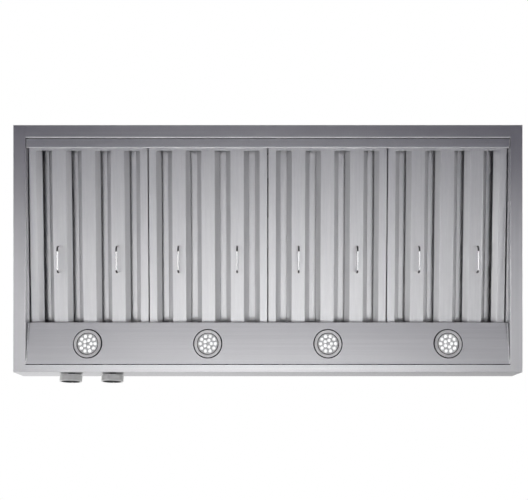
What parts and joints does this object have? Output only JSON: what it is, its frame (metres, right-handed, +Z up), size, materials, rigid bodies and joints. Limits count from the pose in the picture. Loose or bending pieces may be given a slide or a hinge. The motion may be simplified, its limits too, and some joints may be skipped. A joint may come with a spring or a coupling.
{
  "type": "wall mount range hood",
  "caption": "Wide stainless wall mount range hood with baffle filters, recessed lamps, front knobs, an inner blower and a round top duct with a damper",
  "frame": {"origin": "on the wall plane, midway along the hood, level with the underside of its rim", "axes": "+X along the wall, +Y into the wall, +Z up"},
  "size_m": [1.219, 0.6305, 0.522],
  "materials": {
    "canopy_steel": "brushed stainless sheet",
    "filter_steel": "bright brushed stainless sheet",
    "knob_steel": "satin turned steel",
    "bezel_nickel": "satin nickel",
    "lamp_lens": "clear gloss",
    "lamp_can": "cast, plain",
    "galvanised": "galvanised sheet",
    "motor_black": "satin black",
    "axle_steel": "ground steel",
    "switch_plastic": "moulded"
  },
  "bodies": {
    "canopy": {"left_side_panel": "canopy_steel", "right_side_panel": "canopy_steel", "rear_panel": "canopy_steel", "front_fascia": "canopy_steel", "canopy_front": "canopy_steel", "top_panel": "canopy_steel", "light_panel": "canopy_steel", "grease_trough": "canopy_steel", "lamp_1_bezel": "bezel_nickel", "lamp_1_lens": "lamp_lens", "lamp_1_housing": "lamp_can", "lamp_2_bezel": "bezel_nickel", "lamp_2_lens": "lamp_lens", "lamp_2_housing": "lamp_can", "lamp_3_bezel": "bezel_nickel", "lamp_3_lens": "lamp_lens", "lamp_3_housing": "lamp_can", "lamp_4_bezel": "bezel_nickel", "lamp_4_lens": "lamp_lens", "lamp_4_housing": "lamp_can", "fan_switch": "switch_plastic", "light_switch": "switch_plastic", "left_scroll_housing": "galvanised", "left_inlet_ring": "galvanised", "right_scroll_housing": "galvanised", "right_inlet_ring": "galvanised", "blower_motor": "motor_black", "damper_spindle": "axle_steel", "plenum": "galvanised", "duct_collar": "galvanised", "control_box": "galvanised", "control_box_cover": "galvanised", "conduit_bushing": "galvanised"},
    "fan_dial": {"fan_knob": "knob_steel", "fan_knob_stem": "axle_steel"},
    "light_dial": {"light_knob": "knob_steel", "light_knob_stem": "axle_steel"},
    "blower_rotor": {"blower_axle": "axle_steel", "left_fan_wheel": "galvanised", "right_fan_wheel": "galvanised"},
    "rear_flap": {"rear_damper_flap": "galvanised"},
    "front_flap": {"front_damper_flap": "galvanised"},
    "filter_1": {"filter_1_frame": "filter_steel", "filter_1_front_slats": "filter_steel", "filter_1_rear_slats": "filter_steel", "filter_1_handles": "filter_steel"},
    "filter_2": {"filter_2_frame": "filter_steel", "filter_2_front_slats": "filter_steel", "filter_2_rear_slats": "filter_steel", "filter_2_handles": "filter_steel"},
    "filter_3": {"filter_3_frame": "filter_steel", "filter_3_front_slats": "filter_steel", "filter_3_rear_slats": "filter_steel", "filter_3_handles": "filter_steel"},
    "filter_4": {"filter_4_frame": "filter_steel", "filter_4_front_slats": "filter_steel", "filter_4_rear_slats": "filter_steel", "filter_4_handles": "filter_steel"}
  },
  "joints": [
    {"name": "fan_knob_turn", "type": "hinge", "parent": "canopy", "child": "fan_dial", "pos_m": [0.48, -0.6033, 0.033], "axis": [0, 0.9461, 0.3239], "range_deg": [0, 270]},
    {"name": "light_knob_turn", "type": "hinge", "parent": "canopy", "child": "light_dial", "pos_m": [0.379, -0.6033, 0.033], "axis": [0, 0.9461, 0.3239], "range_deg": [0, 270]},
    {"name": "filter_1_slide", "type": "slide", "parent": "canopy", "child": "filter_1", "axis": [0, 0.999, -0.0454], "range_m": [0, 0.024]},
    {"name": "filter_2_slide", "type": "slide", "parent": "canopy", "child": "filter_2", "axis": [0, 0.999, -0.0454], "range_m": [0, 0.024]},
    {"name": "filter_3_slide", "type": "slide", "parent": "canopy", "child": "filter_3", "axis": [0, 0.999, -0.0454], "range_m": [0, 0.024]},
    {"name": "filter_4_slide", "type": "slide", "parent": "canopy", "child": "filter_4", "axis": [0, 0.999, -0.0454], "range_m": [0, 0.024]},
    {"name": "blower_spin", "type": "hinge", "parent": "canopy", "child": "blower_rotor", "pos_m": [0, -0.155, 0.25], "axis": [1, 0, 0], "continuous": true},
    {"name": "rear_flap_lift", "type": "hinge", "parent": "canopy", "child": "rear_flap", "pos_m": [0, -0.1525, 0.477], "axis": [1, 0, 0], "range_deg": [0, 75]},
    {"name": "front_flap_lift", "type": "hinge", "parent": "canopy", "child": "front_flap", "pos_m": [0, -0.1525, 0.477], "axis": [-1, 0, 0], "range_deg": [0, 75]}
  ]
}
